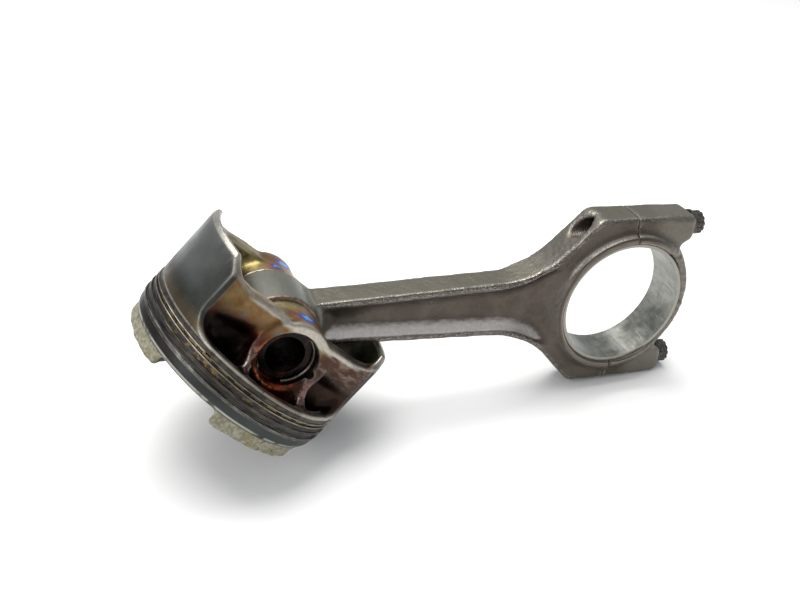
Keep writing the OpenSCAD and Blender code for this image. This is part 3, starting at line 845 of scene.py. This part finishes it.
def piston_material():
    n = Nodes("piston_alloy", PISTON)
    x, y, w = n.x, n.y, n.z
    rho = n.math("SQRT", x * x + y * y)
    side = angle_from(n, x, y)
    hollow = n.attribute("hollow")
    broad = n.noise(0.06, 3)
    cloud = n.noise(0.16, 4, 0.6)
    fine = n.noise(0.9, 4, 0.6)
    grain = n.noise(3.5, 3, 0.7)
    turning = n.noise(1.0, 2, stretch=(0.05, 0.05, 9.0))
    outer = rho.rise(38.6, 39.0)
    skirt = outer * w.rise(9.3, 8.8)
    rough = n.map_range(cloud, 0.3, 0.7, 0.32, 0.46)

    # Bare alloy, dulled by oil
    colour = n.mix((0.17, 0.165, 0.15), (0.26, 0.25, 0.23), cloud.rise(0.35, 0.7))
    colour = n.mix(colour, (0.14, 0.12, 0.10), fine.rise(0.5, 0.75) * 0.5)
    colour = n.mix(colour, skirt_colour(n, side, fine, turning), skirt)

    walls = y.size().rise(17.8, 18.6) * rho.rise(39.1, 38.6) * w.rise(17, 15)
    colour = n.mix(colour, wall_colour(n, cloud, fine, broad, hollow), walls)

    colour = inner_colour(n, colour, cloud, rho)
    axis_r = n.math("SQRT", x * x + w * w)
    colour = boss_colour(n, colour, cloud, fine, axis_r)

    belt = outer.most(rho.rise(35.0, 35.6)) * w.rise(8.9, 9.2) * rho.rise(35.0, 35.4)
    colour = n.mix(colour, belt_colour(n, side, fine, outer), belt)
    crown = w.rise(23.3, 23.8)
    colour = n.mix(colour, crown_colour(n, rho, cloud, fine), crown)
    colour = bright_edges(n, colour, fine, rho, axis_r)

    metallic = (1 - (crown * 0.9).most(belt * 0.25)) * (1 - hollow.rise(0.2, 0.8) * 0.3)
    rough = rough + crown * 0.45 + belt * 0.06
    normal = n.bump(grain * 0.5 + fine, 0.10, 0.5)
    normal = n.bump(turning * skirt, 0.03, 0.5, under=normal)
    return n.finish(colour, metallic, rough, normal)


def forged_material():
    n = Nodes("rod_steel", ROD)
    x, y, z = n.x, n.y, n.z
    edge, hollow = n.attribute("edge"), n.attribute("hollow")
    facing = n.facing(ROD)
    cloud = n.noise(0.09, 3, 0.5)
    fine = n.noise(0.8, 4, 0.65)
    peen, small_peen = n.cells(1.4), n.cells(2.9)
    from_pin = x + ROD_LENGTH
    big_r = n.math("SQRT", x * x + z * z)
    small_r = n.math("SQRT", from_pin * from_pin + z * z)

    colour = n.mix((0.078, 0.064, 0.053), (0.105, 0.088, 0.074), cloud.rise(0.35, 0.65))
    colour = n.mix(colour, (0.15, 0.13, 0.112), peen.rise(0.32, 0.12) * 0.30)
    # Painted light: faces turned away from the broad sides painted lighter than them
    flank_painted_light = facing[1].size().rise(0.80, 0.40)
    colour = n.mix(colour, (0.175, 0.163, 0.142), flank_painted_light * 0.8)
    # Painted shade: darker in hollows
    colour = n.mix(colour, (0.045, 0.037, 0.032), hollow.rise(0.15, 0.7) * 0.30)

    # Painted highlights: the recess's lower wall, which faces up, and the top of the thrust ring's outer
    # fillet painted light, with painted glints on the edges, the lower wall and the fillet
    shank = big_r.rise(33, 37) * small_r.rise(18, 21)
    # Painted highlight: the up-facing lower wall of the recess painted light
    slope = facing[2].rise(0.25, 0.7) * facing[1].size().rise(0.2, 0.4)
    slope = slope * y.size().rise(6.1, 5.6) * z.rise(3, 0) * shank
    colour = n.mix(colour, (0.66, 0.62, 0.585), slope * (0.55 + fine * 0.7).limited())
    # Painted light: up-facing faces on the top edge given their own lit tone
    top = facing[2].rise(0.8, 0.95) * z.rise(5, 7)
    colour = n.mix(colour, (0.150, 0.140, 0.108), top * 0.7)
    # Painted highlight: the top of the thrust ring's outer fillet painted light
    arc = big_r.within(29.6, 31.6, 0.4) * z.rise(8, 16) * y.size().rise(8.2, 8.8)
    colour = n.mix(colour, (0.30, 0.29, 0.255), arc * 0.7)
    # Painted glints: near-white specks on the edges, the lower wall and the fillet
    painted_glints = (edge.rise(0.2, 0.6) * 0.8 + slope * 0.8 + arc * 0.8) * small_peen.rise(0.40, 0.14)
    painted_glints = painted_glints * big_r.rise(29.2, 30.2).most(y.size().rise(9.6, 9.0))
    colour = n.mix(colour, (0.85, 0.83, 0.79), painted_glints.limited())

    # Machined faces: the thrust faces of both ends
    flat = facing[1].size().rise(0.96, 0.99) * y.size().rise(9.8, 10.05)
    arcs = n.noise(2.2, 2, at=n.vector(big_r, 0.0, 0.0))
    machined = n.mix((0.120, 0.105, 0.086), (0.165, 0.150, 0.125), arcs.rise(0.35, 0.65))
    machined = n.mix(machined, (0.09, 0.072, 0.057), cloud.rise(0.40, 0.65) * 0.7)
    machined = n.mix(machined, (0.36, 0.35, 0.31), big_r.rise(27.6, 26.9) * big_r.rise(24, 26))
    colour = n.mix(colour, machined, flat)
    colour = n.mix(colour, (0.195, 0.185, 0.155), x.rise(6, 15) * 0.6)

    # The small end browned by hot oil
    smooth = small_r.rise(18.5, 16.5)
    colour = n.mix(colour, (0.20, 0.205, 0.175), smooth * 0.8)
    brown = n.mix((0.13, 0.085, 0.055), (0.21, 0.165, 0.125), fine.rise(0.4, 0.6))
    colour = n.mix(colour, brown, smooth * y.size().rise(8.5, 9.8))

    # Faint fracture line between rod and cap, with a little rust
    line = (x + (n.noise(0.5, 4, 0.7) - 0.5) * 1.8).size()
    rusty = n.noise(0.2, 2).rise(0.42, 0.6)
    colour = n.mix(colour, (0.11, 0.05, 0.025), line.rise(1.9, 0.3) * rusty * 0.55)
    colour = n.mix(colour, (0.05, 0.035, 0.025), line.rise(0.22, 0.08) * 0.45)

    rough = n.map_range(fine, 0.3, 0.7, 0.38, 0.52) - flat * 0.06 - painted_glints.limited() * 0.12
    forged = 1 - flat.most(smooth)
    normal = n.bump(peen * forged, 0.14, 0.5)
    normal = n.bump(small_peen * forged + fine * 0.6, 0.06, 0.5, under=normal)
    normal = n.bump(arcs * flat, 0.02, 0.5, under=normal)
    return n.finish(colour, 0.92, rough, normal)


def turned_material(name, dark, light, axes, rough, soot_amount=0.5, stretch=(0.3, 0.3, 8.0)):
    """A turned or ground metal part: fine lines, stains, and soot or oil."""
    n = Nodes(name, axes)
    lines = n.noise(0.8, 3, 0.6, stretch=stretch)
    stain = n.noise(0.14, 4, 0.65)
    fine = n.noise(1.2, 4, 0.65)
    colour = n.mix(dark, light, lines.rise(0.35, 0.65))
    colour = n.mix(colour, (0.03, 0.026, 0.022), stain.rise(0.42, 0.68) * soot_amount)
    colour = n.mix(colour, light, fine.rise(0.6, 0.75) * 0.5)
    roughness = n.map_range(stain, 0.3, 0.7, rough - 0.06, rough + 0.12)
    normal = n.bump(lines + fine * 0.5, 0.025, 0.5)
    return n.finish(colour, 0.95, roughness, normal)


def shell_material():
    """Bearing lining: silvery, with scratches along and around the bore and cloudy stains."""
    n = Nodes("shell_metal", ROD)
    around = angle_from(n, n.x, n.z)
    turned = n.noise(1.6, 3, at=n.vector(around * 0.02, n.y * 2.2, 0.0))
    scratches = n.noise(0.9, 4, 0.65, at=n.vector(around * 0.35, n.y * 0.12, 0.0))
    cloud = n.noise(0.12, 5, 0.65)
    colour = n.mix((0.17, 0.175, 0.150), (0.30, 0.305, 0.28), cloud.rise(0.35, 0.62))
    colour = n.mix(colour, (0.12, 0.115, 0.10), scratches.rise(0.52, 0.70) * 0.65)
    colour = n.mix(colour, (0.60, 0.60, 0.58), scratches.rise(0.42, 0.30) * 0.45)
    colour = n.mix(colour, (0.45, 0.45, 0.43), turned.rise(0.60, 0.75) * 0.4)
    rim = n.y.size().rise(8.6, 8.85)
    colour = n.mix(colour, (0.30, 0.29, 0.25), rim * 0.8)
    rough = n.map_range(cloud, 0.3, 0.7, 0.28, 0.44)
    return n.finish(colour, 0.9, rough, n.bump(turned + scratches * 0.7, 0.02, 0.5))


def pin_material():
    """Wrist pin: ground and oiled, its ends and its hole painted very dark as shade, with brown stains."""
    n = Nodes("pin_steel", PISTON)
    stain = n.noise(0.2, 4, 0.6)
    ground = n.noise(0.9, 3, stretch=(0.4, 5.0, 0.4))
    axis_r = n.math("SQRT", n.x * n.x + n.z * n.z)
    colour = n.mix((0.09, 0.08, 0.07), (0.22, 0.20, 0.18), ground.rise(0.35, 0.65))
    colour = n.mix(colour, (0.10, 0.045, 0.02), stain.rise(0.5, 0.7) * 0.6)
    # Painted shade: the pin's ends and its hole painted very dark
    painted_shade_ends = n.y.size().rise(21.9, 22.2).most(axis_r.rise(9.5, 9.0))
    colour = n.mix(colour, n.mix((0.010, 0.008, 0.007), (0.05, 0.022, 0.014), stain.rise(0.45, 0.65)), painted_shade_ends)
    rough = n.map_range(stain, 0.3, 0.7, 0.24, 0.40)
    return n.finish(colour, 0.9, rough, n.bump(ground + stain * 0.5, 0.02, 0.5))


def dress_nodes():
    """Gives the CAD nodes that stay their materials."""
    ring = dict(axes=PISTON, stretch=(0.3, 0.3, 8.0))
    finishes = {
        "top_compression_ring": turned_material("ring_steel", (0.035, 0.033, 0.031), (0.17, 0.165, 0.15),
                                                rough=0.36, soot_amount=0.6, **ring),
        "second_compression_ring": turned_material("ring_iron", (0.02, 0.018, 0.016), (0.10, 0.09, 0.08),
                                                   rough=0.45, soot_amount=0.7, **ring),
        "oil_ring_upper_rail": turned_material("rail_steel", (0.12, 0.115, 0.10), (0.30, 0.285, 0.25),
                                               rough=0.36, **ring),
        "oil_ring_expander": turned_material("expander_steel", (0.10, 0.07, 0.035), (0.24, 0.17, 0.08),
                                             rough=0.45, **ring),
        "wrist_pin": pin_material(),
        "front_circlip": turned_material("clip_steel", (0.07, 0.06, 0.05), (0.22, 0.20, 0.17), PISTON, 0.35),
        "small_end_bush": turned_material("bush_bronze", (0.20, 0.12, 0.045), (0.40, 0.28, 0.12), ROD, 0.4,
                                          stretch=(0.5, 5.0, 0.5)),
        "rod_bearing_shell": shell_material(),
        "upper_rod_bolt": turned_material("bolt_steel", (0.035, 0.032, 0.03), (0.16, 0.15, 0.135), ROD, 0.42,
                                          soot_amount=0.4, stretch=(6.0, 0.6, 0.6)),
    }
    finishes["oil_ring_lower_rail"] = finishes["oil_ring_upper_rail"]
    finishes["rear_circlip"] = finishes["front_circlip"]
    finishes["cap_bearing_shell"] = finishes["rod_bearing_shell"]
    finishes["lower_rod_bolt"] = finishes["upper_rod_bolt"]
    for node, material in finishes.items():
        for slot in frame["nodes"][node].material_slots:
            slot.material = material


# ---- Stage: camera, light and floor ----

CAMERA_AT = (-209.60, -282.70, 172.97)         # mm in the rod's frame
CAMERA_RIGHT = (0.938501, -0.3282, 0.107060)
CAMERA_UP = (0.071700, 0.4885, 0.869635)
CAMERA_LENS = 42.57
FLOOR_GAP = 0.0002                             # metres
FLOOR_HALF = 6.0


def set_camera():
    data = bpy.data.cameras.new("camera")
    data.sensor_width, data.lens = 36.0, CAMERA_LENS
    data.clip_start, data.clip_end = 0.01, 20.0
    camera = bpy.data.objects.new("camera", data)
    right, up = (Vector(ROD.world(np.array(v)) - np.array(ROD.origin)).normalized()
                 for v in (CAMERA_RIGHT, CAMERA_UP))
    up = (up - right * up.dot(right)).normalized()
    turn = Matrix((right, up, right.cross(up))).transposed()
    camera.matrix_world = Matrix.Translation(ROD.world(np.array(CAMERA_AT))) @ turn.to_4x4()
    bpy.context.scene.collection.objects.link(camera)
    bpy.context.scene.camera = camera


def area_light(name, at, target, size, watts, tint=(1, 1, 1)):
    data = bpy.data.lights.new(name, "AREA")
    data.shape, data.size, data.energy, data.color = "SQUARE", size, watts, tint
    light = bpy.data.objects.new(name, data)
    light.location = at
    light.rotation_euler = (Vector(target) - Vector(at)).to_track_quat("-Z", "Y").to_euler()
    bpy.context.scene.collection.objects.link(light)


def set_stage():
    floor_z = cad_box[0][2] - FLOOR_GAP
    size = FLOOR_HALF
    mesh = bpy.data.meshes.new("floor")
    corners = [(-size, -size), (size, -size), (size, size), (-size, size)]
    mesh.from_pydata([(x, y, floor_z) for x, y in corners], [], [(0, 1, 2, 3)])
    floor = bpy.data.objects.new("floor", mesh)
    material = bpy.data.materials.new("floor")
    material.use_nodes = True
    shader = material.node_tree.nodes["Principled BSDF"]
    shader.inputs["Base Color"].default_value = (0.9, 0.9, 0.9, 1)
    shader.inputs["Roughness"].default_value = 0.9
    shader.inputs["Specular IOR Level"].default_value = 0.1
    mesh.materials.append(material)
    bpy.context.scene.collection.objects.link(floor)


def set_light():
    world = bpy.data.worlds.new("studio")
    bpy.context.scene.world = world
    world.use_nodes = True
    background = world.node_tree.nodes["Background"]
    background.inputs["Color"].default_value = (0.95, 0.97, 1.0, 1)
    background.inputs["Strength"].default_value = 0.55
    area_light("overhead", (-0.15, 0.25, 1.1), (-0.06, 0, 0), 0.9, 16, (1.0, 0.985, 0.96))
    area_light("left", (-0.9, -0.45, 0.5), (-0.1, 0, 0), 0.6, 3.5)
    bpy.context.scene.view_settings.view_transform = "Standard"


def coat(obj, material):
    """Puts one material on the whole object."""
    obj.data.materials.clear()
    obj.data.materials.append(material)
    obj.data.polygons.foreach_set("material_index", np.zeros(len(obj.data.polygons), np.int32))
    obj.data.update()


def main():
    set_camera()
    set_light()
    set_stage()
    coat(build_piston(), piston_material())
    steel = forged_material()
    for obj in (build_rod(), build_cap()):
        coat(obj, steel)
    dress_nodes()


main()
